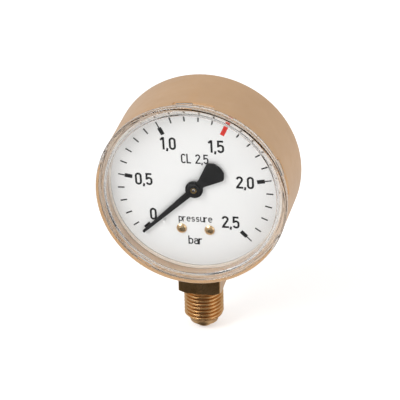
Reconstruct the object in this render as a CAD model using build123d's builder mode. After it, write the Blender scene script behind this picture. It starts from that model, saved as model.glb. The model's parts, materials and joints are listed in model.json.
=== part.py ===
"""Bourdon-tube pressure gauge, 63 mm case, bottom connection G 1/4 B.

Frame: the stem points down -Z, the dial faces -Y, +X is to the right of a reader.
The origin is on the stem axis, on the shoulder where the thread meets the square block.
All sizes are in millimetres. "Dial" sketches are drawn on planes parallel to XZ whose
local origin is the case axis, x to the right and y upwards as the dial is read. Depths
along the case axis are counted from the rear face of the movement, `works_y` behind the
stem's axis.
"""
from build123d import *
from math import atan, cos, degrees, radians, sin, tan
import os

os.makedirs("parts", exist_ok=True)

# ---------------------------------------------------------------- driving dimensions
axis_height = 40.0          # case axis above the thread's shoulder
works_y = 1.5               # rear face of the movement, behind the stem's axis
front_y = -18.45            # outer face of the window
back_y = 8.4                # outer face of the case back
pointer_rest = 223.7        # direction of the pointer at rest, counter-clockwise from the right

case_radius = 31.2          # at the back
case_front_radius = 30.5    # at the rim: the cup narrows a little towards its mouth
case_wall = 0.7
case_corner = 1.0           # rounding where the case's side meets its back
case_screw_points = [(0, -13.0), (0, -26.5)]
case_screw_radius = 1.45
case_screw_length = 5.5
case_screw_head = 2.7
case_screw_head_height = 1.2
case_screw_slot = 0.7

window_radius = 30.6
pane_thickness = 2.0
flange_thickness = 2.15
skirt_outer = 29.65
skirt_inner = 28.8
skirt_end_y = -11.2
rib_outer = 27.9            # ring inside the window that holds the dial's edge down
rib_inner = 26.0
rib_foot = 1.1              # width of the rib's end on the dial
window_edge = 1.05          # rounding of the window's front edge

lug_count = 5
slot_turn = 88.0            # direction of the middle of the top slot
slot_arc = 24.5
slot_length = 1.7           # along the case axis
slot_strip = 0.5            # case metal left in front of each slot
lug_turn = 93.5             # direction of the middle of the top lug
lug_arc = 10.0
lug_clearance = 0.15
lug_stand_in = 0.2          # how far the lugs stay inside the case's outer face

dial_radius = 29.6
dial_face_y = -10.5
dial_thickness = 0.5
seal_inner = 28.1           # ring between the dial's edge and the window's skirt
seal_outer = 29.5
seal_thickness = 0.6
dial_hole = 2.2
stop_radius = 15.5          # where the pointer's rest pin stands
stop_pin_radius = 0.45
stop_pin_front_y = -12.0
stop_ahead = 6.75           # degrees from the pointer's middle to the pin
dial_screw_x = 4.55
dial_screw_z = -14.4
dial_screw_head = 1.65
dial_screw_shank = 0.85

block_width = 14.0          # across the spanner flats
block_height = 12.5
block_gap = 0.15            # around the block where it leaves the case
thread_crest = 6.5785       # G 1/4 B, major radius
thread_root = 5.722
thread_pitch = 1.337
thread_turns = 7
thread_length = 10.2
neck_radius = 4.75
neck_end = -13.0
spigot_radius = 2.5
stem_end = -15.0
inlet_radius = 1.6

tube_radius = 22.0          # centre line of the C-shaped tube
tube_width = 7.0            # along the case axis
tube_thickness = 2.2
tube_wall = 0.3
tube_y = 1.5                # middle of the tube's width
tube_root_angle = -103.0
tube_sweep = 263.0

back_plate_y = 0.0          # rear face of the back plate
front_plate_y = -7.8        # rear face of the front plate
plate_thickness = 0.8

gear_module = 0.2
pinion_teeth = 12
sector_full_teeth = 120     # teeth of the whole wheel that the sector is cut from
sector_cut_teeth = 13
mesh_angle = -60.0          # direction from the pinion to the sector's pivot

tail_length = 4.8           # sector pivot to link pin
link_start_angle = -26.5    # direction of the sector's tail at zero pressure
end_pin_radius = 15.5       # case axis to the pin on the tube's end
end_pin_angle = -10.0
pin_radius = 0.5
pin_clearance = 0.05
open_pivot_radius = 0.65    # link hole at the tube end, wider by the error of the linkage

pointer_length = 23.6
pointer_back_y = -11.1
pointer_thickness = 0.6
boss_height = 1.3
bush_radius = 1.0
hub_radius = 2.85
boss_radius = 2.05
arm_half_width = 1.15
tip_half_width = 0.42
tail_start = 3.2            # where the counterweight begins to widen, from the hub's centre
tail_half_start = 1.4
tail_side_end = 9.4
tail_half_end = 3.75
tail_end = 11.6
tail_corner = 0.9

cut_margin = 0.6            # how far cutting shapes run past the metal they cut

# ---------------------------------------------------------------- derived dimensions
case_inner = case_radius - case_wall
mouth_radius = case_front_radius - case_wall
rim_y = front_y + flange_thickness
pane_back_y = front_y + pane_thickness
slot_front_y = rim_y + slot_strip
slot_back_y = slot_front_y + slot_length
pinion_pitch = gear_module * pinion_teeth / 2
sector_pitch = gear_module * sector_full_teeth / 2
gear_centres = pinion_pitch + sector_pitch


def polar(radius, angle):
    """Point at a radius and an angle in degrees, counter-clockwise from the right."""
    return (radius * cos(radians(angle)), radius * sin(radians(angle)))


sector_pivot = polar(gear_centres, mesh_angle)
tail_step = polar(tail_length, link_start_angle)
tail_pin = (sector_pivot[0] + tail_step[0], sector_pivot[1] + tail_step[1])
end_pin = polar(end_pin_radius, end_pin_angle)
case_axis = Axis((0, 0, axis_height), (0, 1, 0))
half_plane = Plane(origin=(0, works_y, axis_height), x_dir=(0, 1, 0), z_dir=(1, 0, 0))


def dial_plane(y):
    """Plane parallel to the dial at a depth y, seen from the front, normal to the front."""
    return Plane(origin=(0, works_y + y, axis_height), x_dir=(1, 0, 0), z_dir=(0, -1, 0))


def round_plane(centre, y):
    """Dial plane whose origin is moved to a point of the dial."""
    return Plane(
        origin=(centre[0], works_y + y, axis_height + centre[1]), x_dir=(1, 0, 0), z_dir=(0, -1, 0)
    )


def ring_sector(inner, outer, start, sweep):
    """Flat region between two radii, over an arc in degrees."""
    with BuildSketch() as region:
        with BuildLine():
            outer_arc = CenterArc((0, 0), outer, start, sweep)
            inner_arc = CenterArc((0, 0), inner, start, sweep)
            Line(outer_arc @ 0, inner_arc @ 0)
            Line(outer_arc @ 1, inner_arc @ 1)
        make_face()
    return region.sketch


def bar(start, end, width):
    """Flat bar with round ends, from one centre to the other."""
    length = ((end[0] - start[0]) ** 2 + (end[1] - start[1]) ** 2) ** 0.5
    middle = ((start[0] + end[0]) / 2, (start[1] + end[1]) / 2)
    turn = degrees(atan((end[1] - start[1]) / (end[0] - start[0])))
    with BuildSketch() as region:
        with Locations(Location((middle[0], middle[1], 0), (0, 0, turn))):
            SlotCenterToCenter(length, width)
    return region.sketch


def gear_tooth(pitch_radius, addendum, dedendum, thickness, lean):
    """One tooth of a wheel, centred on the local x axis, rooted a little inside the rim."""
    tip = pitch_radius + addendum
    root = pitch_radius - dedendum
    tip_half = thickness / 2 - addendum * lean
    root_half = thickness / 2 + dedendum * lean
    with BuildSketch() as region:
        with BuildLine():
            Polyline(
                (root - 0.1, -root_half),
                (root, -root_half),
                (tip, -tip_half),
                (tip, tip_half),
                (root, root_half),
                (root - 0.1, root_half),
                close=True,
            )
        make_face()
    return region.sketch


def turned(profile_points, centre):
    """Solid of revolution about an axis along Y, from (y, radius) points."""
    plane = Plane(
        origin=(centre[0], works_y, axis_height + centre[1]), x_dir=(0, 1, 0), z_dir=(1, 0, 0)
    )
    with BuildPart() as solid:
        with BuildSketch(plane):
            with BuildLine():
                Polyline(*profile_points, close=True)
            make_face()
        revolve(axis=Axis((centre[0], 0, axis_height + centre[1]), (0, 1, 0)))
    return solid.part


def round_edges(solid, radius, y):
    """Circular edges of a solid with a given radius, centred at a depth y."""
    circles = solid.edges().filter_by(GeomType.CIRCLE)
    return circles.filter_by(
        lambda edge: abs(edge.radius - radius) < 0.01
        and abs(edge.arc_center.Y - works_y - y) < 0.01
    )


# ---------------------------------------------------------------- case
# A drawn steel cup: rounded back corner, square hole for the stem, slots for the window's lugs.
slot_shape = ring_sector(
    mouth_radius - cut_margin, case_radius + cut_margin, -slot_arc / 2, slot_arc
)
with BuildPart() as case:
    with BuildSketch(half_plane):
        with BuildLine():
            Polyline(
                (rim_y, mouth_radius),
                (rim_y, case_front_radius),
                (back_y, case_radius),
                (back_y, 0),
                (back_y - case_wall, 0),
                (back_y - case_wall, case_inner),
                close=True,
            )
        make_face()
    revolve(axis=case_axis)
    fillet(round_edges(case, case_radius, back_y), case_corner)
    fillet(round_edges(case, case_inner, back_y - case_wall), case_corner - case_wall)
    with BuildSketch(dial_plane(slot_back_y)):
        with PolarLocations(0, lug_count, start_angle=slot_turn):
            add(slot_shape)
    extrude(amount=slot_length, mode=Mode.SUBTRACT)
    with BuildSketch(Plane.XY):
        Rectangle(block_width + 2 * block_gap, block_width + 2 * block_gap)
    extrude(amount=block_height + cut_margin, mode=Mode.SUBTRACT)
    with BuildSketch(dial_plane(back_y + cut_margin)):
        with Locations(*case_screw_points):
            Circle(case_screw_radius + block_gap)
    extrude(amount=case_wall + 2 * cut_margin, mode=Mode.SUBTRACT)
case.part.label = "case"
export_step(case.part, "parts/case.step")

# Two pan-head screws hold the case's back to the socket.
with BuildPart() as case_screws:
    for point in case_screw_points:
        add(
            turned(
                [
                    (back_y - case_screw_length, 0),
                    (back_y - case_screw_length, case_screw_radius),
                    (back_y, case_screw_radius),
                    (back_y, case_screw_head),
                    (back_y + case_screw_head_height / 2, case_screw_head),
                    (back_y + case_screw_head_height, case_screw_head - 0.7),
                    (back_y + case_screw_head_height, 0),
                ],
                point,
            )
        )
        with BuildSketch(round_plane(point, back_y + case_screw_head_height + cut_margin)):
            Rectangle(2 * case_screw_head + cut_margin, case_screw_slot, rotation=30)
        extrude(amount=cut_margin + case_screw_slot, mode=Mode.SUBTRACT)
case_screws.part.label = "case_screws"
export_step(case_screws.part, "parts/case_screws.step")

# ---------------------------------------------------------------- window
# Clear snap-in cap: pane and flange, a rib that reaches the dial's edge, a skirt with lugs.
lug_shape = ring_sector(skirt_outer - 0.5, case_front_radius - lug_stand_in, -lug_arc / 2, lug_arc)
with BuildPart() as window:
    with BuildSketch(half_plane):
        with BuildLine():
            Polyline(
                (front_y, 0),
                (front_y, window_radius),
                (rim_y, window_radius),
                (rim_y, skirt_outer),
                (skirt_end_y, skirt_outer),
                (skirt_end_y, skirt_inner),
                (pane_back_y, skirt_inner),
                (pane_back_y, rib_outer),
                (dial_face_y - 0.1, rib_outer),
                (dial_face_y - 0.1, rib_outer - rib_foot),
                (pane_back_y, rib_inner),
                (pane_back_y, 0),
                close=True,
            )
        make_face()
    revolve(axis=case_axis)
    fillet(round_edges(window, window_radius, front_y), window_edge)
    with BuildSketch(dial_plane(slot_back_y - lug_clearance)):
        with PolarLocations(0, lug_count, start_angle=lug_turn):
            add(lug_shape)
    extrude(amount=slot_length - 2 * lug_clearance)
window.part.label = "window"
export_step(window.part, "parts/window.step")

# ---------------------------------------------------------------- dial
dial_screw_points = [(-dial_screw_x, dial_screw_z), (dial_screw_x, dial_screw_z)]
stop_point = polar(stop_radius, pointer_rest + stop_ahead)
dial_back_y = dial_face_y + dial_thickness
with BuildPart() as dial:
    with BuildSketch(dial_plane(dial_back_y)):
        Circle(dial_radius)
        Circle(dial_hole, mode=Mode.SUBTRACT)
        with Locations(*dial_screw_points):
            Circle(dial_screw_shank + 0.15, mode=Mode.SUBTRACT)
        with Locations(stop_point):
            Circle(stop_pin_radius, mode=Mode.SUBTRACT)
    extrude(amount=dial_thickness)
dial.part.label = "dial"
export_step(dial.part, "parts/dial.step")

# Cream plastic ring that the skirt presses on the dial's edge.
with BuildPart() as window_seal:
    with BuildSketch(dial_plane(dial_face_y)):
        Circle(seal_outer)
        Circle(seal_inner, mode=Mode.SUBTRACT)
    extrude(amount=seal_thickness)
window_seal.part.label = "window_seal"
export_step(window_seal.part, "parts/window_seal.step")

# The pin that the pointer rests against, just below zero.
with BuildPart() as stop_pin:
    add(
        turned(
            [
                (stop_pin_front_y, 0),
                (stop_pin_front_y, stop_pin_radius - 0.15),
                (stop_pin_front_y + 0.15, stop_pin_radius),
                (dial_back_y, stop_pin_radius),
                (dial_back_y, 0),
            ],
            stop_point,
        )
    )
stop_pin.part.label = "stop_pin"
export_step(stop_pin.part, "parts/stop_pin.step")

# Dome-headed brass drive screws through the dial and its spacers into the front plate.
with BuildPart() as dial_screws:
    for point in dial_screw_points:
        add(
            turned(
                [
                    (dial_face_y - 0.95, 0),
                    (dial_face_y - 0.9, 0.6),
                    (dial_face_y - 0.6, 1.25),
                    (dial_face_y - 0.25, dial_screw_head),
                    (dial_face_y, dial_screw_head),
                    (dial_face_y, dial_screw_shank),
                    (front_plate_y - 0.1, dial_screw_shank),
                    (front_plate_y - 0.1, 0),
                ],
                point,
            )
        )
dial_screws.part.label = "dial_screws"
export_step(dial_screws.part, "parts/dial_screws.step")

front_face_y = front_plate_y - plate_thickness
with BuildPart() as dial_spacers:
    with BuildSketch(dial_plane(front_face_y)):
        with Locations(*dial_screw_points):
            Circle(2 * dial_screw_shank)
            Circle(dial_screw_shank + 0.1, mode=Mode.SUBTRACT)
    extrude(amount=front_face_y - dial_back_y)
dial_spacers.part.label = "dial_spacers"
export_step(dial_spacers.part, "parts/dial_spacers.step")

# ---------------------------------------------------------------- socket
# One brass piece: square block with turned corners, thread, neck, spigot and, inside the
# case, the head that holds the tube's root and the tongue that carries the movement.
thread_depth = thread_crest - thread_root
flank = thread_depth * tan(radians(27.5))
land = (thread_pitch - 2 * flank) / 2
stem_profile = [(0, 0), (thread_crest, 0)]
for turn in range(thread_turns):
    groove = -land - turn * thread_pitch
    stem_profile.append((thread_crest, groove))
    stem_profile.append((thread_root, groove - flank))
    stem_profile.append((thread_root, groove - flank - land))
    stem_profile.append((thread_crest, groove - 2 * flank - land))
stem_profile += [
    (thread_crest, -thread_length),
    (neck_radius, -thread_length - 1.3),
    (neck_radius, neck_end),
    (spigot_radius, neck_end),
    (spigot_radius, stem_end + 0.4),
    (spigot_radius - 0.4, stem_end),
    (0, stem_end),
]
chamfer_start = 8.3         # radius where the block's corners begin to be turned away
chamfer_rise = (block_width / 2 ** 0.5 - chamfer_start) * tan(radians(30))
pocket_inner = tube_radius - tube_thickness / 2 - 0.1
pocket_outer = tube_radius + tube_thickness / 2 + 0.1
pocket_shape = ring_sector(pocket_inner, pocket_outer, -114, 114 - 86)
movement_screw_points = [(-4.0, -12.5), (2.4, -15.8)]
head_front_y = -4.0
head_back_y = back_y - case_wall
head_top = -19.0
tongue_top = -8.6
with BuildPart() as socket:
    with BuildSketch(Plane.XY):
        Rectangle(block_width, block_width)
    extrude(amount=block_height)
    with BuildSketch(Plane.XZ):
        with BuildLine():
            Polyline(
                (0, 0),
                (chamfer_start, 0),
                (block_width / 2 ** 0.5 + 0.1, chamfer_rise + 0.1 * tan(radians(30))),
                (block_width / 2 ** 0.5 + 0.1, block_height),
                (0, block_height),
                close=True,
            )
        make_face()
    revolve(axis=Axis.Z, mode=Mode.INTERSECT)
    with BuildSketch(dial_plane(head_back_y)):
        with Locations((0, (head_top - case_inner) / 2)):
            Rectangle(block_width, head_top + case_inner)
        Circle(case_inner - case_corner + 0.6, mode=Mode.INTERSECT)
    extrude(amount=head_back_y - head_front_y)
    with BuildSketch(dial_plane(head_back_y)):
        with Locations((0, (head_top + tongue_top) / 2)):
            Rectangle(block_width, tongue_top - head_top + 2)
    extrude(amount=head_back_y - back_plate_y)
    with BuildSketch(Plane.XZ):
        with BuildLine():
            Polyline(*stem_profile, close=True)
        make_face()
    revolve(axis=Axis.Z)
    with BuildSketch(dial_plane(tube_y + tube_width / 2 + 0.1)):
        add(pocket_shape)
    extrude(amount=tube_width + 0.2, mode=Mode.SUBTRACT)
    with BuildSketch(Plane.XY.offset(stem_end)):
        Circle(inlet_radius)
    extrude(amount=axis_height - tube_radius - stem_end, mode=Mode.SUBTRACT)
    with BuildSketch(dial_plane(back_plate_y + 4)):
        with Locations(*movement_screw_points):
            Circle(0.95)
    extrude(amount=6, mode=Mode.SUBTRACT)
    with BuildSketch(dial_plane(back_y)):
        with Locations(*case_screw_points):
            Circle(1.5)
    extrude(amount=6, mode=Mode.SUBTRACT)
socket.part.label = "socket"
export_step(socket.part, "parts/socket.step")

# Throttle screw in the inlet, with a fine hole and a screwdriver slot.
with BuildPart() as restrictor_screw:
    with BuildSketch(Plane.XY.offset(-14.2)):
        Circle(inlet_radius - 0.04)
        Circle(0.25, mode=Mode.SUBTRACT)
    extrude(amount=4)
    with BuildSketch(Plane.XY.offset(-14.2)):
        Rectangle(2 * inlet_radius, 0.5)
    extrude(amount=0.7, mode=Mode.SUBTRACT)
restrictor_screw.part.label = "restrictor_screw"
export_step(restrictor_screw.part, "parts/restrictor_screw.step")

# ---------------------------------------------------------------- Bourdon tube
def tube_section_plane(angle):
    """Plane across the tube at an angle of its arc, with x along the case axis."""
    point = polar(tube_radius, angle)
    return Plane(
        origin=(point[0], works_y + tube_y, axis_height + point[1]),
        x_dir=(0, 1, 0),
        z_dir=(sin(radians(angle)), 0, -cos(radians(angle))),
    )


with BuildPart() as bourdon_tube:
    with BuildSketch(tube_section_plane(tube_root_angle)):
        SlotOverall(tube_width, tube_thickness)
        SlotOverall(tube_width - 2 * tube_wall, tube_thickness - 2 * tube_wall, mode=Mode.SUBTRACT)
    revolve(axis=case_axis, revolution_arc=tube_sweep)
bourdon_tube.part.label = "bourdon_tube"
export_step(bourdon_tube.part, "parts/bourdon_tube.step")

# Plug, cap and lug soldered to the tube's free end.
tip_angle = tube_root_angle - tube_sweep
lug_back_y = -4.0
lug_front_y = -5.2
with BuildPart() as tube_end_piece:
    with BuildSketch(tube_section_plane(tip_angle)):
        Rectangle(tube_width + 1.2, tube_thickness + 1.2)
    revolve(axis=case_axis, revolution_arc=8)
    with BuildSketch(tube_section_plane(tip_angle + 4)):
        SlotOverall(tube_width - 2 * tube_wall - 0.1, tube_thickness - 2 * tube_wall - 0.1)
    revolve(axis=case_axis, revolution_arc=5)
    with BuildSketch(dial_plane(lug_back_y + 2.2)):
        add(ring_sector(tube_radius - 1.7, tube_radius + 1.7, tip_angle - 7.5, 7))
    extrude(amount=2.2)
    with BuildSketch(dial_plane(lug_back_y)):
        add(bar(end_pin, polar(tube_radius, end_pin_angle), 2.8))
        with Locations(end_pin):
            Circle(pin_radius, mode=Mode.SUBTRACT)
    extrude(amount=lug_back_y - lug_front_y)
tube_end_piece.part.label = "tube_end_piece"
export_step(tube_end_piece.part, "parts/tube_end_piece.step")

# ---------------------------------------------------------------- link
link_back_y = -5.3
link_thickness = 0.6
link_front_y = link_back_y - link_thickness
pin_head_y = link_front_y - 0.1
with BuildPart() as link:
    with BuildSketch(dial_plane(link_back_y)):
        add(bar(tail_pin, end_pin, 1.4))
        with Locations(tail_pin):
            Circle(1.2)
        with Locations(end_pin):
            Circle(1.5)
        with Locations(tail_pin):
            Circle(pin_radius + pin_clearance, mode=Mode.SUBTRACT)
        with Locations(end_pin):
            Circle(open_pivot_radius, mode=Mode.SUBTRACT)
    extrude(amount=link_thickness)
link.part.label = "link"
export_step(link.part, "parts/link.step")


def shoulder_pin(point, rear_y, head_radius):
    """Headed pin along Y, from its rear end to a slotless round head in front of the link."""
    return turned(
        [
            (rear_y, 0),
            (rear_y, pin_radius),
            (pin_head_y, pin_radius),
            (pin_head_y, head_radius),
            (pin_head_y - 0.5, head_radius),
            (pin_head_y - 0.7, head_radius - 0.2),
            (pin_head_y - 0.7, 0),
        ],
        point,
    )


with BuildPart() as link_pin_tube:
    add(shoulder_pin(end_pin, lug_back_y, 1.35))
link_pin_tube.part.label = "link_pin_tube"
export_step(link_pin_tube.part, "parts/link_pin_tube.step")

sector_back_y = -4.4
sector_front_y = -5.2
with BuildPart() as link_pin_sector:
    add(shoulder_pin(tail_pin, sector_back_y, 1.1))
link_pin_sector.part.label = "link_pin_sector"
export_step(link_pin_sector.part, "parts/link_pin_sector.step")

# ---------------------------------------------------------------- sector gear
# Thirteen teeth of a 120-tooth wheel on two arms, with a tail for the link.
tooth_angle = 360 / sector_full_teeth
first_tooth = mesh_angle + 180 + 4.5
sector_tooth = gear_tooth(sector_pitch, 0.18, 0.25, 0.25, tan(radians(20)))
rim_outer = sector_pitch - 0.25
rim_start = first_tooth - tooth_angle * (sector_cut_teeth - 0.5)
rim_sweep = tooth_angle * sector_cut_teeth
arm_angles = [rim_start + 2.5, rim_start + rim_sweep - 2.5]
hub_circle_y = sector_back_y + 0.4
with BuildPart() as sector_gear:
    with BuildSketch(round_plane(sector_pivot, sector_back_y)):
        add(ring_sector(9.6, rim_outer, rim_start, rim_sweep))
        for number in range(sector_cut_teeth):
            with Locations(Location((0, 0, 0), (0, 0, first_tooth - tooth_angle * number))):
                add(sector_tooth)
        for angle in arm_angles:
            add(bar(polar(1.0, angle), polar(10.4, angle), 1.6))
        Circle(2.3)
        add(bar((0, 0), tail_step, 2.2))
        with Locations(tail_step):
            Circle(pin_radius, mode=Mode.SUBTRACT)
        Circle(0.8, mode=Mode.SUBTRACT)
    extrude(amount=sector_back_y - sector_front_y)
    with BuildSketch(round_plane(sector_pivot, hub_circle_y)):
        Circle(1.7)
        Circle(0.8, mode=Mode.SUBTRACT)
    extrude(amount=0.4)
sector_gear.part.label = "sector_gear"
export_step(sector_gear.part, "parts/sector_gear.step")

pivot_radius = 0.4
with BuildPart() as sector_arbor:
    add(
        turned(
            [
                (back_plate_y - 0.1, 0),
                (back_plate_y - 0.1, pivot_radius),
                (back_plate_y - plate_thickness - 0.1, pivot_radius),
                (back_plate_y - plate_thickness - 0.1, 0.8),
                (front_plate_y + 0.1, 0.8),
                (front_plate_y + 0.1, pivot_radius),
                (front_face_y + 0.1, pivot_radius),
                (front_face_y + 0.1, 0),
            ],
            sector_pivot,
        )
    )
sector_arbor.part.label = "sector_arbor"
export_step(sector_arbor.part, "parts/sector_arbor.step")

# ---------------------------------------------------------------- pinion, hairspring
pinion_tooth = gear_tooth(pinion_pitch, 0.17, 0.25, 0.25, 0.3)
pinion_root = pinion_pitch - 0.25
journal_radius = 0.55
arbor_tip_y = pointer_back_y - 1.45
with BuildPart() as pinion_arbor:
    add(
        turned(
            [
                (back_plate_y - 0.1, 0),
                (back_plate_y - 0.1, pivot_radius),
                (back_plate_y - plate_thickness - 0.1, pivot_radius),
                (back_plate_y - plate_thickness - 0.1, 0.8),
                (front_plate_y + 0.1, 0.8),
                (front_plate_y + 0.1, journal_radius),
                (arbor_tip_y + 0.15, journal_radius),
                (arbor_tip_y, journal_radius - 0.15),
                (arbor_tip_y, 0),
            ],
            (0, 0),
        )
    )
    with BuildSketch(dial_plane(-3.8)):
        Circle(pinion_root)
        with PolarLocations(0, pinion_teeth, start_angle=mesh_angle):
            add(pinion_tooth)
    extrude(amount=2)
pinion_arbor.part.label = "pinion_arbor"
export_step(pinion_arbor.part, "parts/pinion_arbor.step")

spring_back_y = -6.4
spring_width = 0.5
with BuildPart() as hairspring_collet:
    with BuildSketch(dial_plane(-6.1)):
        Circle(1.3)
        Circle(0.8, mode=Mode.SUBTRACT)
    extrude(amount=1.1)
hairspring_collet.part.label = "hairspring_collet"
export_step(hairspring_collet.part, "parts/hairspring_collet.step")

# A flat spiral strip; its inner end stops just short of the collet that turns.
spring_start = 1.5
spring_pitch = 0.55
spring_coils = 5
spring_strip = 0.12
spring_steps = 12 * spring_coils


def spiral_points(offset):
    """Points of a spiral of Archimedes, a twelfth of a turn apart."""
    return [
        polar(spring_start + offset + spring_pitch * step / 12, 180 + 30 * step)
        for step in range(spring_steps + 1)
    ]


with BuildPart() as hairspring:
    with BuildSketch(dial_plane(spring_back_y)):
        with BuildLine():
            inner_coil = Spline(*spiral_points(0))
            outer_coil = Spline(*spiral_points(spring_strip))
            Line(inner_coil @ 0, outer_coil @ 0)
            Line(inner_coil @ 1, outer_coil @ 1)
        make_face()
    extrude(amount=spring_width)
hairspring.part.label = "hairspring"
export_step(hairspring.part, "parts/hairspring.step")

# The stud that holds the spring's outer end hangs from the front plate.
stud_point = (-spring_start - spring_pitch * spring_coils - 0.55, 0)
with BuildPart() as hairspring_stud:
    with BuildSketch(dial_plane(spring_back_y + 0.3)):
        with Locations(stud_point):
            Circle(0.43)
    extrude(amount=spring_back_y + 0.3 - front_face_y)
hairspring_stud.part.label = "hairspring_stud"
export_step(hairspring_stud.part, "parts/hairspring_stud.step")

# ---------------------------------------------------------------- movement frame
pillar_points = [(-6.6, 2.4), (7.2, 3.0), (-7.0, -11.0), (7.6, -16.3)]
plate_left = -8.4
plate_right = 9.1
plate_top = 4.6
plate_bottom = -17.8
plate_centre = ((plate_left + plate_right) / 2, (plate_top + plate_bottom) / 2)
plate_size = (plate_right - plate_left, plate_top - plate_bottom)
pivot_hole = pivot_radius + pin_clearance
journal_hole = journal_radius + pin_clearance
with BuildPart() as movement_back_plate:
    with BuildSketch(dial_plane(back_plate_y)):
        with Locations(plate_centre):
            RectangleRounded(*plate_size, 1.5)
        Circle(pivot_hole, mode=Mode.SUBTRACT)
        with Locations(sector_pivot):
            Circle(pivot_hole, mode=Mode.SUBTRACT)
        with Locations(*movement_screw_points):
            Circle(1.0, mode=Mode.SUBTRACT)
    extrude(amount=plate_thickness)
movement_back_plate.part.label = "movement_back_plate"
export_step(movement_back_plate.part, "parts/movement_back_plate.step")

with BuildPart() as movement_front_plate:
    with BuildSketch(dial_plane(front_plate_y)):
        with Locations(plate_centre):
            RectangleRounded(*plate_size, 1.5)
        Circle(journal_hole, mode=Mode.SUBTRACT)
        with Locations(sector_pivot):
            Circle(pivot_hole, mode=Mode.SUBTRACT)
        with Locations(*dial_screw_points):
            Circle(0.9, mode=Mode.SUBTRACT)
        with Locations(*pillar_points):
            Circle(0.9, mode=Mode.SUBTRACT)
        with Locations(stud_point):
            Circle(0.43, mode=Mode.SUBTRACT)
    extrude(amount=plate_thickness)
movement_front_plate.part.label = "movement_front_plate"
export_step(movement_front_plate.part, "parts/movement_front_plate.step")

pillar_back_y = back_plate_y - plate_thickness
with BuildPart() as movement_pillars:
    with BuildSketch(dial_plane(pillar_back_y)):
        with Locations(*pillar_points):
            Circle(1.3)
    extrude(amount=pillar_back_y - front_plate_y)
    with BuildSketch(dial_plane(front_plate_y + 2)):
        with Locations(*pillar_points):
            Circle(0.8)
    extrude(amount=2, mode=Mode.SUBTRACT)
movement_pillars.part.label = "movement_pillars"
export_step(movement_pillars.part, "parts/movement_pillars.step")


def plate_screw(point, seat_y, length, shank, head):
    """Cheese-head screw whose head sits in front of a plate and whose shank runs back."""
    return turned(
        [
            (seat_y + length, 0),
            (seat_y + length, shank),
            (seat_y, shank),
            (seat_y, head),
            (seat_y - 0.8, head),
            (seat_y - 0.8, 0),
        ],
        point,
    )


def screw_group(points, seat_y, length, shank, head):
    """Identical slotted screws, one at each point of a dial plane."""
    with BuildPart() as group:
        for point in points:
            add(plate_screw(point, seat_y, length, shank, head))
            with BuildSketch(round_plane(point, seat_y - 0.4)):
                Rectangle(2.5 * head, 0.35, rotation=20)
            extrude(amount=0.6, mode=Mode.SUBTRACT)
    return group.part


with BuildPart() as pillar_screws:
    add(screw_group(pillar_points, front_face_y, 2.5, 0.75, 1.2))
pillar_screws.part.label = "pillar_screws"
export_step(pillar_screws.part, "parts/pillar_screws.step")

with BuildPart() as movement_screws:
    add(screw_group(movement_screw_points, pillar_back_y, 4.4, 0.9, 1.6))
movement_screws.part.label = "movement_screws"
export_step(movement_screws.part, "parts/movement_screws.step")

# ---------------------------------------------------------------- pointer
# Moulded in one: tapered arm, two-step hub and a fan-shaped counterweight.
pointer_plane = Plane(
    origin=(0, works_y + pointer_back_y, axis_height),
    x_dir=(cos(radians(pointer_rest)), 0, sin(radians(pointer_rest))),
    z_dir=(0, -1, 0),
)
with BuildSketch() as pointer_arm:
    with BuildLine():
        Polyline(
            (0, -arm_half_width),
            (pointer_length, -tip_half_width),
            (pointer_length, tip_half_width),
            (0, arm_half_width),
            close=True,
        )
    make_face()
with BuildSketch() as pointer_tail:
    with BuildLine():
        Line((0, -tail_half_start), (-tail_start, -tail_half_start))
        Line((-tail_start, -tail_half_start), (-tail_side_end, -tail_half_end))
        ThreePointArc((-tail_side_end, -tail_half_end), (-tail_end, 0), (-tail_side_end, tail_half_end))
        Line((-tail_side_end, tail_half_end), (-tail_start, tail_half_start))
        Line((-tail_start, tail_half_start), (0, tail_half_start))
        Line((0, tail_half_start), (0, -tail_half_start))
    make_face()
    fillet(pointer_tail.vertices().sort_by(Axis.X)[:2], tail_corner)
with BuildPart() as pointer:
    with BuildSketch(pointer_plane):
        add(pointer_arm.sketch)
        add(pointer_tail.sketch)
        Circle(hub_radius)
        Circle(bush_radius, mode=Mode.SUBTRACT)
    extrude(amount=pointer_thickness)
    with BuildSketch(dial_plane(pointer_back_y)):
        Circle(boss_radius)
        Circle(bush_radius, mode=Mode.SUBTRACT)
    extrude(amount=boss_height)
pointer.part.label = "pointer"
export_step(pointer.part, "parts/pointer.step")

with BuildPart() as pointer_bush:
    with BuildSketch(dial_plane(pointer_back_y)):
        Circle(bush_radius)
        Circle(journal_radius, mode=Mode.SUBTRACT)
    extrude(amount=boss_height)
pointer_bush.part.label = "pointer_bush"
export_step(pointer_bush.part, "parts/pointer_bush.step")
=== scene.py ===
"""Looks of the pressure gauge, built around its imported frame.

Metres, +Z up, in the frame's own axes: the stem points down -Z and the dial faces -Y.
Sizes written times MM are in millimetres.
"""

import json
from math import cos, pi, radians, sin, sqrt, tan

import bmesh
import bpy
from mathutils import Matrix, Vector


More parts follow.
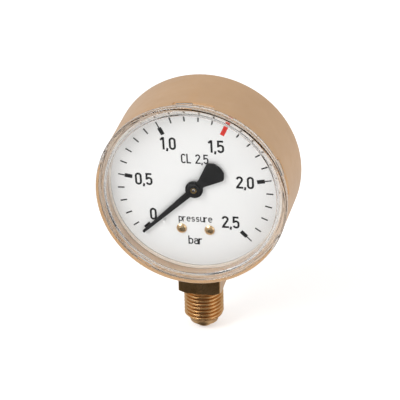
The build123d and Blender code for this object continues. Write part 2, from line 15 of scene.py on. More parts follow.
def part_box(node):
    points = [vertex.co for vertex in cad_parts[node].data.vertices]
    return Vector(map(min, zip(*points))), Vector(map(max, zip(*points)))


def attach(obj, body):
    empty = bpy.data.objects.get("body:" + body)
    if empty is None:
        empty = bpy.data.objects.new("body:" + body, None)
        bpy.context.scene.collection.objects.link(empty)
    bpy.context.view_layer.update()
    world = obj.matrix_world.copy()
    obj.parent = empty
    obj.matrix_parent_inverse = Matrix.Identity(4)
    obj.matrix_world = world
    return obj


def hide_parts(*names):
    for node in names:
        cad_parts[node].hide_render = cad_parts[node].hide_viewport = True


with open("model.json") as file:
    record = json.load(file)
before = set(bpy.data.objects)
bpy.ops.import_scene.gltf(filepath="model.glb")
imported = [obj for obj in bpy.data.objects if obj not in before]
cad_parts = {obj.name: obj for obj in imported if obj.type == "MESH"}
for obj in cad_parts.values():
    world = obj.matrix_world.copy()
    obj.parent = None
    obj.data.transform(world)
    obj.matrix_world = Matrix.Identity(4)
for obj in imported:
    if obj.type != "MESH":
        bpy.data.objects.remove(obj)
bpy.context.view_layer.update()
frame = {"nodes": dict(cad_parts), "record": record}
MM = 0.001
merge_distance = 0.0005 * MM    # points nearer than this are one point

# ---------------------------------------------------------------- places from the frame
dial_low, dial_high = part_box("dial")
window_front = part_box("window")[0].y
socket_low, socket_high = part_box("socket")
axis_z = (dial_low.z + dial_high.z) / 2
dial_face = dial_low.y
stem_end = socket_low.z
block_half = socket_high.x

# ---------------------------------------------------------------- driving sizes
dial_turn = radians(1.5)        # the print sits turned by this much, counter-clockwise

window_radius = 30.6 * MM
window_edge = 1.05 * MM
pane_back = window_front + 2.0 * MM
flange_back = window_front + 2.15 * MM
skirt_outer = 29.65 * MM
skirt_inner = 28.8 * MM
skirt_end = dial_face - 0.7 * MM
rib_outer = 27.9 * MM
rib_inner = 27.2 * MM
rib_end = dial_face - 0.1 * MM
lug_radius = 30.3 * MM
lug_front = flange_back + 0.65 * MM
lug_back = lug_front + 1.4 * MM
lug_count = 5
lug_turn = radians(93.5)
lug_half_arc = radians(5)
lug_end_play = radians(0.01)
window_steps = 240

block_top = 12.5 * MM
block_chamfer_start = 8.3 * MM
block_chamfer_slope = tan(radians(30))
block_corner = 0.3 * MM
head_overlap = 0.3 * MM         # the CAD head is kept from this far below the block's top
thread_crest = 6.5785 * MM
thread_root = 5.722 * MM
thread_pitch = 1.337 * MM
thread_end = -10.2 * MM
thread_start = -0.15 * MM
thread_rows = 132
stem_steps = 160
neck_radius = 4.75 * MM
neck_start = -11.5 * MM
neck_end = -13.0 * MM
spigot_radius = 2.5 * MM
inlet_radius = 1.6 * MM

# ---------------------------------------------------------------- finishes


class Finish:
    """A material being made: a Principled surface, and short calls that wire nodes into it."""

    def __init__(self, name, **sockets):
        self.material = bpy.data.materials.new(name)
        self.material.use_nodes = True
        self.nodes = self.material.node_tree.nodes
        self.links = self.material.node_tree.links
        self.surface = self.nodes["Principled BSDF"]
        self.place = self.nodes.new("ShaderNodeTexCoord").outputs["Object"]
        for socket, value in sockets.items():
            self.surface.inputs[socket.replace("_", " ")].default_value = value

    def node(self, kind, inputs, **settings):
        """A new node, with each input set to a value or linked to a socket."""
        made = self.nodes.new("ShaderNode" + kind)
        for name, value in settings.items():
            setattr(made, name, value)
        for socket, value in inputs.items():
            if isinstance(value, bpy.types.NodeSocket):
                self.links.new(value, made.inputs[socket])
            else:
                made.inputs[socket].default_value = value
        return made

    def noise(self, size, detail=3, stretch=(1, 1, 1), place=None):
        """Noise with features of about this size in metres, drawn out along the small axes of stretch."""
        mapping = self.node("Mapping", {"Vector": place or self.place, "Scale": stretch})
        texture = self.node(
            "TexNoise", {"Vector": mapping.outputs[0], "Scale": 1 / size, "Detail": detail}
        )
        return texture.outputs["Fac"]

    def turned_place(self):
        """Coordinates that vary along Z and outwards only, for marks left by a lathe."""
        flat = self.node("VectorMath", {0: self.place, 1: (1, 1, 0)}, operation="MULTIPLY")
        radius = self.node("VectorMath", {0: flat.outputs[0]}, operation="LENGTH")
        parts = self.node("SeparateXYZ", {0: self.place})
        joined = self.node("CombineXYZ", {0: radius.outputs["Value"], 2: parts.outputs[2]})
        return joined.outputs[0]

    def between(self, factor, low, high):
        """A value that goes from low to high with the middle half of a noise."""
        spread = self.node("MapRange", {0: factor, 1: 0.3, 2: 0.7, 3: low, 4: high})
        return spread.outputs[0]

    def colours(self, factor, *colours):
        """A colour ramp whose colours are spread over the middle of a noise."""
        ramp = self.node("ValToRGB", {"Fac": factor})
        while len(ramp.color_ramp.elements) < len(colours):
            ramp.color_ramp.elements.new(0.5)
        for number, colour in enumerate(colours):
            element = ramp.color_ramp.elements[number]
            element.position = 0.3 + 0.4 * number / (len(colours) - 1)
            element.color = (*colour, 1)
        return ramp.outputs[0]

    def relief(self, height, depth):
        """Bumps of this depth in metres, over any that are already wired."""
        bump = self.node("Bump", {"Height": height, "Distance": depth, "Strength": 1.0})
        normal = self.surface.inputs["Normal"]
        if normal.is_linked:
            self.links.new(normal.links[0].from_socket, bump.inputs["Normal"])
        self.links.new(bump.outputs[0], normal)

    def set(self, socket, source):
        self.links.new(source, self.surface.inputs[socket])


def case_lacquer():
    """Gold-tan lacquer on drawn steel: fine orange peel, faint clouds, a clear coat."""
    finish = Finish("case_lacquer", Metallic=0.0, Coat_Weight=0.25, Coat_Roughness=0.3)
    clouds = finish.noise(9 * MM)
    finish.set("Base Color", finish.colours(clouds, (0.565, 0.340, 0.172), (0.60, 0.368, 0.190)))
    finish.set("Roughness", finish.between(finish.noise(2.5 * MM), 0.36, 0.46))
    finish.relief(finish.noise(0.9 * MM, 2), 0.006 * MM)
    return finish.material


def clear_plastic():
    """Polished clear plastic with faint wipe marks, which lets light through to the dial."""
    finish = Finish("clear_plastic", Transmission_Weight=1.0, IOR=1.5)
    clouds = finish.noise(14 * MM)
    finish.set("Base Color", finish.colours(clouds, (0.985, 0.98, 0.97), (0.995, 0.993, 0.985)))
    finish.set("Roughness", finish.between(finish.noise(6 * MM), 0.0, 0.02))
    path = finish.node("LightPath", {})
    lit = finish.node(
        "Math",
        {0: path.outputs["Is Shadow Ray"], 1: path.outputs["Is Diffuse Ray"]},
        operation="MAXIMUM",
    )
    open_way = finish.node("BsdfTransparent", {})
    both = finish.node(
        "MixShader", {0: lit.outputs[0], 1: finish.surface.outputs[0], 2: open_way.outputs[0]}
    )
    finish.links.new(both.outputs[0], finish.nodes["Material Output"].inputs["Surface"])
    return finish.material


def dial_lacquer(name, dark, light):
    """Matt white lacquer with a very fine grain."""
    finish = Finish(name, Metallic=0.0)
    finish.set("Base Color", finish.colours(finish.noise(7 * MM), dark, light))
    finish.set("Roughness", finish.between(finish.noise(1.5 * MM), 0.5, 0.62))
    finish.relief(finish.noise(0.25 * MM, 2), 0.0015 * MM)
    return finish.material


def ink(name, dark, light):
    """Screen-printed ink, slightly uneven in tone and gloss."""
    finish = Finish(name, Metallic=0.0)
    finish.set("Base Color", finish.colours(finish.noise(1.2 * MM), dark, light))
    finish.set("Roughness", finish.between(finish.noise(0.5 * MM), 0.4, 0.6))
    return finish.material


def pointer_plastic():
    """Black moulded plastic with a fine spark-eroded grain."""
    finish = Finish("pointer_plastic", Metallic=0.0)
    grain = finish.noise(0.18 * MM, 2)
    clouds = finish.noise(3 * MM)
    finish.set("Base Color", finish.colours(clouds, (0.007, 0.007, 0.008), (0.014, 0.014, 0.015)))
    finish.set("Roughness", finish.between(grain, 0.42, 0.6))
    finish.relief(grain, 0.008 * MM)
    return finish.material


def turned_metal(name, dark, light, roughness, ring=0.12 * MM):
    """Metal with rings left by a lathe about the stem's axis, and faint tarnish."""
    finish = Finish(name, Metallic=1.0)
    rings = finish.noise(ring, 2, place=finish.turned_place())
    finish.set("Base Color", finish.colours(finish.noise(3 * MM), dark, light))
    finish.set("Roughness", finish.between(rings, roughness * 0.75, roughness * 1.25))
    finish.relief(rings, 0.003 * MM)
    return finish.material


def sheet_metal(name, dark, light, roughness, stretch=(1, 1, 14)):
    """Rolled or tumbled metal: fine lines along the sheet and a cloudy tone."""
    finish = Finish(name, Metallic=1.0)
    lines = finish.noise(0.9 * MM, 4, stretch)
    finish.set("Base Color", finish.colours(finish.noise(2.5 * MM), dark, light))
    finish.set("Roughness", finish.between(lines, roughness * 0.7, roughness * 1.3))
    finish.relief(lines, 0.003 * MM)
    return finish.material


BRASS_DARK = (0.62, 0.345, 0.135)
BRASS_LIGHT = (0.84, 0.52, 0.25)
finishes = {
    "case_paint": case_lacquer(),
    "clear_plastic": clear_plastic(),
    "dial_white": dial_lacquer("dial_lacquer", (0.86, 0.865, 0.865), (0.885, 0.885, 0.88)),
    "seal_cream": dial_lacquer("seal_cream", (0.80, 0.70, 0.60), (0.88, 0.79, 0.69)),
    "dial_pin": dial_lacquer("pin_white", (0.84, 0.84, 0.83), (0.88, 0.88, 0.87)),
    "pointer_black": pointer_plastic(),
    "turned_brass": turned_metal("turned_brass", BRASS_DARK, BRASS_LIGHT, 0.3),
    "brass_screws": sheet_metal("screw_brass", (0.80, 0.55, 0.30), (0.90, 0.68, 0.42), 0.26),
    "brass_sheet": sheet_metal("brass_sheet", (0.62, 0.42, 0.16), (0.74, 0.53, 0.24), 0.3),
    "spring_bronze": sheet_metal("spring_bronze", (0.50, 0.26, 0.11), (0.66, 0.38, 0.18), 0.28),
    "bright_steel": sheet_metal("bright_steel", (0.52, 0.52, 0.54), (0.68, 0.68, 0.69), 0.22),
    "steel_screws": sheet_metal("zinc_steel", (0.46, 0.47, 0.49), (0.62, 0.62, 0.62), 0.32),
}
black_ink = ink("black_ink", (0.008, 0.008, 0.009), (0.016, 0.016, 0.017))
red_ink = ink("red_ink", (0.72, 0.022, 0.012), (0.80, 0.035, 0.018))

# ---------------------------------------------------------------- shapes


def closed_mesh(name, points, faces):
    """A mesh with its doubled points merged and its faces turned outwards."""
    mesh = bpy.data.meshes.new(name)
    mesh.from_pydata(points, [], faces)
    shape = bmesh.new()
    shape.from_mesh(mesh)
    bmesh.ops.remove_doubles(shape, verts=shape.verts, dist=merge_distance)
    bmesh.ops.dissolve_degenerate(shape, edges=shape.edges, dist=merge_distance)
    bmesh.ops.recalc_face_normals(shape, faces=shape.faces)
    shape.to_mesh(mesh)
    shape.free()
    return mesh


def add_piece(name, mesh, material, body, slot, *nodes):
    """An object for a new piece, riding a body and standing for CAD nodes, if any are named."""
    mesh.materials.clear()
    mesh.materials.append(material)
    mesh.shade_smooth()
    mesh.set_sharp_from_angle(angle=radians(32))
    piece = bpy.data.objects.new(name, mesh)
    bpy.context.scene.collection.objects.link(piece)
    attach(piece, body)
    if nodes:
        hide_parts(*nodes)
    return piece


def rounded(outline, steps=6):
    """A closed outline of (x, y, corner radius), with each corner turned into an arc."""
    points = []
    for number, (x, y, radius) in enumerate(outline):
        here = Vector((x, y))
        if radius == 0:
            points.append(here)
            continue
        before = (Vector(outline[number - 1][:2]) - here).normalized()
        after = (Vector(outline[(number + 1) % len(outline)][:2]) - here).normalized()
        half = before.angle(after) / 2
        centre = here + (before + after).normalized() * (radius / sin(half))
        start = (here + before * (radius / tan(half)) - centre).normalized()
        end = (here + after * (radius / tan(half)) - centre).normalized()
        for step in range(steps + 1):
            points.append(centre + radius * start.slerp(end, step / steps))
    return points


def rings_to_mesh(name, rings):
    """A closed surface through rings of points: each ring joins the next, and the last the first."""
    points = [point for ring in rings for point in ring]
    size = len(rings[0])
    faces = []
    for number in range(len(rings)):
        this = number * size
        following = (number + 1) % len(rings) * size
        for place in range(size):
            after = (place + 1) % size
            faces.append((this + place, this + after, following + after, following + place))
    return closed_mesh(name, points, faces)


def spaced_angles(steps, extra=()):
    """Evenly spaced angles round a circle, with some more put in."""
    even = [2 * pi * step / steps for step in range(steps)]
    near = pi / steps / 2
    kept = [angle for angle in even if all(abs(angle - other) > near for other in extra)]
    return sorted(kept + list(extra))


# ---------------------------------------------------------------- window


def window_ring(angle, lug):
    """The cap's cross-section at an angle, with the lug's outer face pushed out where there is one."""
    outer = lug_radius if lug else skirt_outer
    outline = rounded(
        [
            (window_front, 0, 0),
            (window_front, window_radius, window_edge),
            (flange_back, window_radius, 0.12 * MM),
            (flange_back, skirt_outer, 0.1 * MM),
            (lug_front, skirt_outer, 0),
            (lug_front, outer, 0),
            (lug_back, outer, 0),
            (lug_back, skirt_outer, 0),
            (skirt_end, skirt_outer, 0.2 * MM),
            (skirt_end, skirt_inner, 0.2 * MM),
            (pane_back, skirt_inner, 0.15 * MM),
            (pane_back, rib_outer, 0.15 * MM),
            (rib_end, rib_outer, 0.15 * MM),
            (rib_end, rib_inner, 0.15 * MM),
            (pane_back, rib_inner, 0.2 * MM),
            (pane_back, 0, 0),
        ]
    )
    return [(r * cos(angle), y, axis_z + r * sin(angle)) for y, r in outline]


def make_window():
    """Snap-in cap: pane, flange, rib and skirt turned in one, with five lugs on the skirt."""
    middles = [lug_turn + 2 * pi * number / lug_count for number in range(lug_count)]
    ends = []
    for middle in middles:
        ends += [(middle - lug_half_arc) % (2 * pi), (middle + lug_half_arc) % (2 * pi)]
    rings = []
    for angle in spaced_angles(window_steps, ends):
        away = [abs((angle - middle + pi) % (2 * pi) - pi) for middle in middles]
        inside = min(away) < lug_half_arc - lug_end_play
        at_end = abs(min(away) - lug_half_arc) < lug_end_play
        if at_end:
            entering = (angle + radians(0.5) - middles[away.index(min(away))] + pi) % (2 * pi) - pi
            before, after = (False, True) if abs(entering) < lug_half_arc else (True, False)
            rings.append(window_ring(angle, before))
            rings.append(window_ring(angle, after))
        else:
            rings.append(window_ring(angle, inside))
    mesh = rings_to_mesh("window_cap", rings)
    add_piece("window_cap", mesh, finishes["clear_plastic"], "housing", "clear_plastic", "window")


make_window()

# ---------------------------------------------------------------- socket


def square_radius(angle):
    """Distance from the axis to the side of the block, whose upright corners are slightly rounded."""
    folded = abs((angle + pi / 4) % (pi / 2) - pi / 4)
    flat = block_half / cos(folded)
    corner = block_half - block_corner
    if flat * sin(folded) <= corner:
        return flat
    along = corner * (cos(folded) + sin(folded))
    return along + sqrt(along * along - 2 * corner * corner + block_corner * block_corner)


def thread_radius(angle, z):
    """Radius of a right-hand Whitworth thread, fading out below the block and above the neck."""
    phase = (z / thread_pitch - angle / (2 * pi)) % 1
    height = abs(2 * phase - 1)
    flank = min(1, max(0, (height - 1 / 6) * 1.5))
    shape = 0.5 * flank + 0.5 * flank * flank * (3 - 2 * flank)
    run_out = min(1, max(0, (-z / MM - 0.25) / 1.1))
    depth = (thread_crest - thread_root) * run_out
    chamfer_rise = (thread_crest - neck_radius) / (thread_end - neck_start)
    chamfer = neck_radius + (z - neck_start) * chamfer_rise
    return min(thread_crest - depth * (1 - shape), chamfer)


def stem_ring(angle):
    """Section of the block, thread, neck, spigot and bore at an angle, from the block's top down."""
    side = square_radius(angle)
    shoulder = min(side, block_chamfer_start)
    chamfer_top = max(0, (side - block_chamfer_start) * block_chamfer_slope)
    edge = 0.12 * MM
    section = [
        (inlet_radius, block_top),
        (side - edge, block_top),
        (side, block_top - edge),
        (side, chamfer_top + edge),
        (side - edge * 0.3, chamfer_top + edge * 0.3),
        (side - edge, max(0, chamfer_top - edge * 0.4)),
        (shoulder - edge * 0.5, 0),
        (thread_crest + 0.35 * MM, 0),
        (thread_crest + 0.08 * MM, -0.05 * MM),
    ]
    for row in range(thread_rows + 1):
        z = thread_start + (neck_start - thread_start) * row / thread_rows
        section.append((max(neck_radius, thread_radius(angle, z)), z))
    section += [
        (neck_radius, neck_end + 0.2 * MM),
        (neck_radius - 0.06 * MM, neck_end + 0.06 * MM),
        (neck_radius - 0.2 * MM, neck_end),
        (spigot_radius + 0.1 * MM, neck_end),
        (spigot_radius, neck_end - 0.1 * MM),
        (spigot_radius, stem_end + 0.45 * MM),
        (spigot_radius - 0.05 * MM, stem_end + 0.35 * MM),
        (spigot_radius - 0.35 * MM, stem_end + 0.05 * MM),
        (spigot_radius - 0.45 * MM, stem_end),
        (inlet_radius + 0.1 * MM, stem_end),
        (inlet_radius, stem_end + 0.1 * MM),
    ]
    return [(r * cos(angle), r * sin(angle), z) for r, z in section]


def make_socket():
    """The stem with a true helical thread, joined to the CAD part's head inside the case."""
    corners = [radians(45) + pi / 2 * number for number in range(4)]
    steps = (-1.2, -0.8, -0.4, 0, 0.4, 0.8, 1.2)
    fine = [corner + radians(step) for corner in corners for step in steps]
    rings = [stem_ring(angle) for angle in spaced_angles(stem_steps, fine)]
    stem = rings_to_mesh("socket_brass", rings)
    shape = bmesh.new()
    shape.from_mesh(frame["nodes"]["socket"].data)
    bmesh.ops.remove_doubles(shape, verts=shape.verts, dist=merge_distance)
    everything = shape.verts[:] + shape.edges[:] + shape.faces[:]
    cut = bmesh.ops.bisect_plane(
        shape,
        geom=everything,
        plane_co=(0, 0, block_top - head_overlap),
        plane_no=(0, 0, 1),
        clear_inner=True,
    )
    cut_edges = [item for item in cut["geom_cut"] if isinstance(item, bmesh.types.BMEdge)]
    bmesh.ops.holes_fill(shape, edges=cut_edges)
    shape.from_mesh(stem)
    shape.to_mesh(stem)
    shape.free()
    add_piece("socket_brass", stem, finishes["turned_brass"], "housing", "turned_brass", "socket")


make_socket()

# ---------------------------------------------------------------- pointer
pointer_low, pointer_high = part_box("pointer")
pointer_back = pointer_high.y
pointer_front = pointer_back - 0.6 * MM
boss_front = pointer_low.y
pointer_rest = radians(223.7)
pointer_length = 23.6 * MM
arm_half = 1.15 * MM
tip_half = 0.42 * MM
hub_radius = 2.85 * MM
boss_radius = 2.05 * MM
bush_radius = 1.0 * MM
hub_steps = 96
tail_outline = [
    (0, -1.4 * MM, 0),
    (-3.2 * MM, -1.4 * MM, 2.5 * MM),
    (-9.6 * MM, -3.85 * MM, 0.9 * MM),
    (-11.3 * MM, -2.2 * MM, 2.0 * MM),
    (-11.75 * MM, 0, 3.0 * MM),
    (-11.3 * MM, 2.2 * MM, 2.0 * MM),
    (-9.6 * MM, 3.85 * MM, 0.9 * MM),
    (-3.2 * MM, 1.4 * MM, 2.5 * MM),
    (0, 1.4 * MM, 0),
]
arm_outline = [
    (0, -arm_half, 0),
    (pointer_length, -tip_half, 0.12 * MM),
    (pointer_length, tip_half, 0.12 * MM),
    (0, arm_half, 0),
]


def add_plate(shape, outline, back, front, edge):
    """Adds a flat plate with rounded front edges, from an outline in the pointer's own axes."""
    along = Vector((cos(pointer_rest), 0, sin(pointer_rest)))
    across = Vector((-sin(pointer_rest), 0, cos(pointer_rest)))
    corners = []
    for x, y in rounded(outline):
        place = along * x + across * y
        corners.append(shape.verts.new((place.x, back, axis_z + place.z)))
    base = shape.faces.new(corners)
    raised = bmesh.ops.extrude_face_region(shape, geom=[base], use_keep_orig=True)
    top = [item for item in raised["geom"] if isinstance(item, bmesh.types.BMVert)]
    bmesh.ops.translate(shape, verts=top, vec=(0, front - back, 0))
    rim = [item for item in raised["geom"] if isinstance(item, bmesh.types.BMEdge)]
    bmesh.ops.bevel(shape, geom=rim, offset=edge, segments=3, profile=0.5, affect="EDGES")


def make_pointer():
    """Moulded pointer: tapered arm, fan-shaped counterweight and a stepped hub."""
    shape = bmesh.new()
    add_plate(shape, arm_outline, pointer_back, pointer_front, 0.1 * MM)
    add_plate(shape, tail_outline, pointer_back, pointer_front - 0.02 * MM, 0.12 * MM)
    hub_outline = rounded(
        [
            (pointer_back, bush_radius, 0),
            (pointer_back, hub_radius, 0.05 * MM),
            (pointer_front - 0.05 * MM, hub_radius, 0.15 * MM),
            (pointer_front - 0.05 * MM, boss_radius, 0.1 * MM),
            (boss_front, boss_radius, 0.15 * MM),
            (boss_front, bush_radius, 0.1 * MM),
        ]
    )
    rings = []
    for angle in spaced_angles(hub_steps):
        rings.append([(r * cos(angle), y, axis_z + r * sin(angle)) for y, r in hub_outline])
    hub = rings_to_mesh("pointer_moulding", rings)
    bmesh.ops.recalc_face_normals(shape, faces=shape.faces)
    shape.from_mesh(hub)
    shape.to_mesh(hub)
    shape.free()
    add_piece("pointer_moulding", hub, finishes["pointer_black"], "pointer", "pointer_black", "pointer")


make_pointer()

# ---------------------------------------------------------------- print on the dial
# Letters are drawn with a pen of even width along lines and arcs, in a cell one unit high.
pen = 0.155
half_cell = 0.19
cell_top = 1 - pen / 2
cell_foot = pen / 2
small_top = 0.74 - pen / 2


def arc(x, y, radius, start, end, steps=12):
    """Points of an arc, with its angles in degrees."""
    turns = [radians(start + (end - start) * step / steps) for step in range(steps + 1)]
    return [(x + radius * cos(turn), y + radius * sin(turn)) for turn in turns]


def oval(top, foot, start=90, end=450):
    """A narrow upright oval with straight sides, from one angle to another."""
    points = []
    radius = half_cell
    for step in range(37):
        angle = start + (end - start) * step / 36
        middle = top - radius if sin(radians(angle)) >= 0 else foot + radius
        points.append((radius * cos(radians(angle)), middle + radius * sin(radians(angle))))
    return points


SIDE = half_cell
GLYPHS = {
    "0": [oval(cell_top, cell_foot)],
    "1": [[(0.09, 0), (0.09, 1)], [(0.07, 0.96), (-0.14, 0.77)]],
    "2": [
        arc(0, cell_top - SIDE, SIDE, 175, -28)
        + [(-SIDE + 0.01, cell_foot + 0.04), (-SIDE, cell_foot), (SIDE + pen / 2, cell_foot)]
    ],
    "5": [
        [(SIDE + 0.02, cell_top), (-SIDE + 0.02, cell_top), (-SIDE + 0.01, 0.53)]
        + arc(0, 0.6 - SIDE, SIDE, 140, 0)
        + arc(0, cell_foot + SIDE, SIDE, 0, -165)
    ],
    ",": [[(0.02, 0.13), (-0.03, -0.12)]],
    "C": [oval(cell_top, cell_foot, 25, 335)],
    "L": [[(-SIDE, 1), (-SIDE, cell_foot), (SIDE, cell_foot)]],
    "a": [
        arc(0, small_top - SIDE, SIDE, 155, 0) + [(SIDE, 0)],
        [(SIDE, 0.42), (0, 0.42)] + arc(0, 0.24, 0.18, 90, 270, 8) + [(0.06, cell_foot), (SIDE, 0.14)],
    ],
    "b": [[(-SIDE, 1), (-SIDE, 0)], oval(small_top, cell_foot, 180, -180)],
    "r": [[(-SIDE, small_top + pen / 2), (-SIDE, 0)], arc(0.02, small_top - 0.2, 0.2, 165, 60, 6)],
    "p": [[(-SIDE, small_top + pen / 2), (-SIDE, -0.24)], oval(small_top, cell_foot, 180, -180)],
    "e": [[(-SIDE, 0.4), (SIDE, 0.4)] + oval(small_top, cell_foot, 0, 320)],
    "s": [
        arc(0, small_top - 0.15, 0.15, 20, 250, 8) + arc(0, cell_foot + 0.16, 0.16, 70, -160, 8)
    ],
    "u": [
        [(-SIDE, small_top + pen / 2), (-SIDE, cell_foot + SIDE)]
        + arc(0, cell_foot + SIDE, SIDE, 180, 360)
        + [(SIDE, small_top + pen / 2)],
        [(SIDE, cell_foot + SIDE), (SIDE, 0)],
    ],
}
ADVANCE = {"1": 0.46, ",": 0.26, " ": 0.34, "r": 0.44}
usual_advance = 0.56
letter_gap = 0.06
number_height = 4.2 * MM
ink_height = 0.03 * MM
same_point = 1e-9               # metres between points of a path that count as one
closed_gap = 1e-6               # metres between the ends of a path that is closed


def ribbon(path, width):
    """Left and right sides of a line drawn with a flat pen, mitred at its corners."""
    given = [Vector(point) for point in path]
    line = [given[0]]
    line += [here for last, here in zip(given, given[1:]) if (here - last).length > same_point]
    closed = (line[0] - line[-1]).length < closed_gap
    if closed:
        line.pop()
    sides = []
    for number, point in enumerate(line):
        before = point - line[number - 1]
        after = line[(number + 1) % len(line)] - point
        if not closed and number == 0:
            before = after
        if not closed and number == len(line) - 1:
            after = before
        along = (before.normalized() + after.normalized()).normalized()
        stretch = 1 / max(0.5, along.dot(after.normalized()))
        across = Vector((-along.y, along.x)) * width / 2 * stretch
        sides.append((point + across, point - across))
    return sides, closed


def stroke_shape(sides, closed, points, faces):
    """Adds a thin solid between the two sides of a stroke, standing on the dial's face."""
    first = len(points)
    for left, right in sides:
        for place in (left, right):
            turned = Matrix.Rotation(dial_turn, 2) @ place
            for lift in (0, ink_height):
                points.append((turned.x, dial_face - lift, axis_z + turned.y))
    count = len(sides)
    for number in range(count if closed else count - 1):
        a = first + 4 * number
        b = first + 4 * ((number + 1) % count)
        faces += [
            (a, a + 2, b + 2, b),
            (a + 1, b + 1, b + 3, a + 3),
            (a, b, b + 1, a + 1),
            (a + 2, a + 3, b + 3, b + 2),
        ]
    if not closed:
        last = first + 4 * (count - 1)
        faces += [(first, first + 1, first + 3, first + 2), (last, last + 2, last + 3, last + 1)]


def print_piece(name, strokes, material):
    """One piece of dial print, from strokes given as (path, width) in metres."""
    points = []
    faces = []
    for path, width in strokes:
        sides, closed = ribbon(path, width)
        stroke_shape(sides, closed, points, faces)
    add_piece(name, closed_mesh(name, points, faces), material, "housing", "dial_white")


def word(text, x, z, height, squeeze=1.0, weight=1.0):
    """Strokes of a word centred on a point of the dial, height metres tall."""
    advances = [ADVANCE.get(letter, usual_advance) for letter in text]
    pen_x = -(sum(advances) - letter_gap) / 2
    strokes = []
    for letter, advance in zip(text, advances):
        centre = pen_x + (advance - letter_gap) / 2
        for path in GLYPHS.get(letter, []):
            placed = [
                (x + (px + centre) * height * squeeze, z + (py - 0.5) * height) for px, py in path
            ]
            strokes.append((placed, pen * height * weight))
        pen_x += advance
    return strokes


def spoke(turn, inner, outer, width):
    """Stroke along a radius of the dial."""
    angle = radians(turn)
    ends = [(radius * MM * cos(angle), radius * MM * sin(angle)) for radius in (inner, outer)]
    return ends, width * MM


zero_turn = 225.0
zero_bar_turn = 220.9
scale_sweep = 270.0
divisions = 25
limit_division = 15
minor_tick = (22.9, 25.1, 0.45)     # inner radius, outer radius and width in millimetres
major_bar = (20.3, 22.8, 1.3)
major_line = (22.8, 24.95, 0.4)
zero_bar = (20.0, 22.5, 1.3)
limit_bar = (20.9, 25.1, 1.4)
number_places = {
    "0": (-14.0, -9.7),
    "0,5": (-16.4, 2.5),
    "1,0": (-7.9, 15.1),
    "1,5": (7.4, 14.7),
    "2,0": (16.2, 2.8),
    "2,5": (11.1, -11.3),
}
number_strokes = []
for text, (x, z) in number_places.items():
    number_strokes += word(text, x * MM, z * MM, number_height)
print_piece("scale_numbers", number_strokes, black_ink)

tick_strokes = []
for mark in range(divisions + 1):
    turn = zero_turn - scale_sweep * mark / divisions
    if mark in (0, limit_division):
        continue
    if mark % 5:
        tick_strokes.append(spoke(turn, *minor_tick))
    else:
        tick_strokes.append(spoke(turn, *major_bar))
        tick_strokes.append(spoke(turn, *major_line))
tick_strokes.append(spoke(zero_bar_turn, *zero_bar))
print_piece("scale_marks", tick_strokes, black_ink)
red_turn = zero_turn - scale_sweep * limit_division / divisions
print_piece("limit_mark", [spoke(red_turn, *limit_bar)], red_ink)

word_strokes = word("CL 2,5", 0.5 * MM, 10.2 * MM, 3.3 * MM, 0.95, 0.85)
word_strokes += word("pressure", -0.3 * MM, -10.6 * MM, 2.5 * MM, 1.05, 0.8)
word_strokes += word("bar", -0.6 * MM, -18.35 * MM, 3.0 * MM, 1.05, 0.85)
print_piece("dial_words", word_strokes, black_ink)

# ---------------------------------------------------------------- CAD pieces that stay


def soften(node, width, angle=35):
    """Rounds a CAD piece's sharp edges by modifiers, so that they catch the light."""
    obj = frame["nodes"][node]
    weld = obj.modifiers.new("weld", "WELD")
    weld.merge_threshold = merge_distance
    bevel = obj.modifiers.new("bevel", "BEVEL")
    bevel.width = width
    bevel.segments = 3
    bevel.limit_method = "ANGLE"
    bevel.angle_limit = radians(angle)
    bevel.harden_normals = True


slot_of_node = {}
for slot in frame["record"]["materials"]:
    for name, obj in frame["nodes"].items():
        if any(material and material.name == slot["slot"] for material in obj.data.materials):
            slot_of_node[name] = slot["slot"]
for name, obj in frame["nodes"].items():
    obj.material_slots[0].material = finishes[slot_of_node[name]]

soften("case", 0.15 * MM)

# ---------------------------------------------------------------- floor, light and camera


world_strength = 0.62
dark_strength = 0.07
dark_way = (-0.1, -0.86, -0.5)
dark_outer = radians(58)
dark_inner = radians(35)
floor_half = 3.0
floor_glow = 0.45
light_size = 0.5
sensor_width = 36


def make_floor():
    """A plain pale floor under the end of the stem."""
    half = floor_half
    corners = [(-half, -half), (half, -half), (half, half), (-half, half)]
    mesh = bpy.data.meshes.new("floor")
    mesh.from_pydata([(x, y, stem_end - 0.05 * MM) for x, y in corners], [], [(0, 1, 2, 3)])
    floor = bpy.data.objects.new("floor", mesh)
    bpy.context.scene.collection.objects.link(floor)
    paint = Finish("floor_paint", Roughness=0.9)
    paint.set("Base Color", paint.colours(paint.noise(0.4), (0.86, 0.86, 0.86), (0.88, 0.88, 0.88)))
    paint.surface.inputs["Emission Color"].default_value = (1, 1, 1, 1)
    paint.surface.inputs["Emission Strength"].default_value = floor_glow
    mesh.materials.append(paint.material)
    floor.visible_glossy = False
    floor.visible_transmission = False


def soft_light(name, place, size, power, colour=(1, 1, 1)):
    """A square area light aimed at the gauge's middle."""
    data = bpy.data.lights.new(name, "AREA")
    data.shape = "SQUARE"
    data.size = size
    data.energy = power
    data.color = colour
    light = bpy.data.objects.new(name, data)
    light.location = place
    target = Vector((0, 0, axis_z))
    light.rotation_mode = "QUATERNION"
    light.rotation_quaternion = (target - Vector(place)).to_track_quat("-Z", "Y")
    bpy.context.scene.collection.objects.link(light)


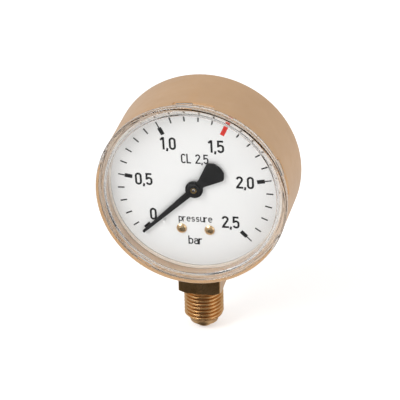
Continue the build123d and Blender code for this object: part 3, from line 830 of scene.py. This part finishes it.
def make_world():
    """A bright room all round, and a dark patch in front and low down where the photographer stands."""
    world = bpy.data.worlds.new("studio")
    world.use_nodes = True
    nodes = world.node_tree.nodes
    links = world.node_tree.links
    background = nodes["Background"]
    way = nodes.new("ShaderNodeTexCoord")
    toward = nodes.new("ShaderNodeVectorMath")
    toward.operation = "DOT_PRODUCT"
    toward.inputs[1].default_value = Vector(dark_way).normalized()
    links.new(way.outputs["Generated"], toward.inputs[0])
    ramp = nodes.new("ShaderNodeValToRGB")
    ramp.color_ramp.elements[0].position = cos(dark_outer)
    ramp.color_ramp.elements[0].color = (*[world_strength] * 3, 1)
    ramp.color_ramp.elements[1].position = cos(dark_inner)
    ramp.color_ramp.elements[1].color = (*[dark_strength] * 3, 1)
    ramp.color_ramp.interpolation = "EASE"
    links.new(toward.outputs["Value"], ramp.inputs["Fac"])
    links.new(ramp.outputs[0], background.inputs["Color"])
    bpy.context.scene.world = world


camera_azimuth = radians(12.57)
camera_elevation = radians(26.21)
camera_roll = radians(-1.39)
camera_distance = 463.2 * MM
camera_right = -2.77 * MM
camera_up = 1.363 * MM
camera_lens = 133.59
sight_depth = 1.95 * MM         # the point the camera is set out from, behind the window's front


def make_camera():
    """The camera, in front of the window, above it and to its right."""
    forward = Vector(
        (
            -sin(camera_azimuth) * cos(camera_elevation),
            cos(camera_azimuth) * cos(camera_elevation),
            -sin(camera_elevation),
        )
    )
    level = Vector((cos(camera_azimuth), sin(camera_azimuth), 0))
    right = Matrix.Rotation(-camera_roll, 3, forward) @ level
    up = right.cross(forward)
    data = bpy.data.cameras.new("camera")
    data.sensor_width = sensor_width
    data.lens = camera_lens
    data.clip_start = 0.01
    camera = bpy.data.objects.new("camera", data)
    front = Vector((0, window_front + sight_depth, axis_z))
    place = front - camera_right * right - camera_up * up - camera_distance * forward
    axes = Matrix((right, up, -forward)).transposed().to_4x4()
    camera.matrix_world = Matrix.Translation(place) @ axes
    bpy.context.scene.collection.objects.link(camera)
    bpy.context.scene.camera = camera


make_floor()
make_world()
soft_light("key", (-0.55, -0.6, 0.7), light_size, 4.8)
soft_light("fill", (0.8, -0.35, 0.35), light_size, 1.2)
make_camera()
bpy.context.scene.view_settings.view_transform = "Standard"

bpy.context.view_layer.update()
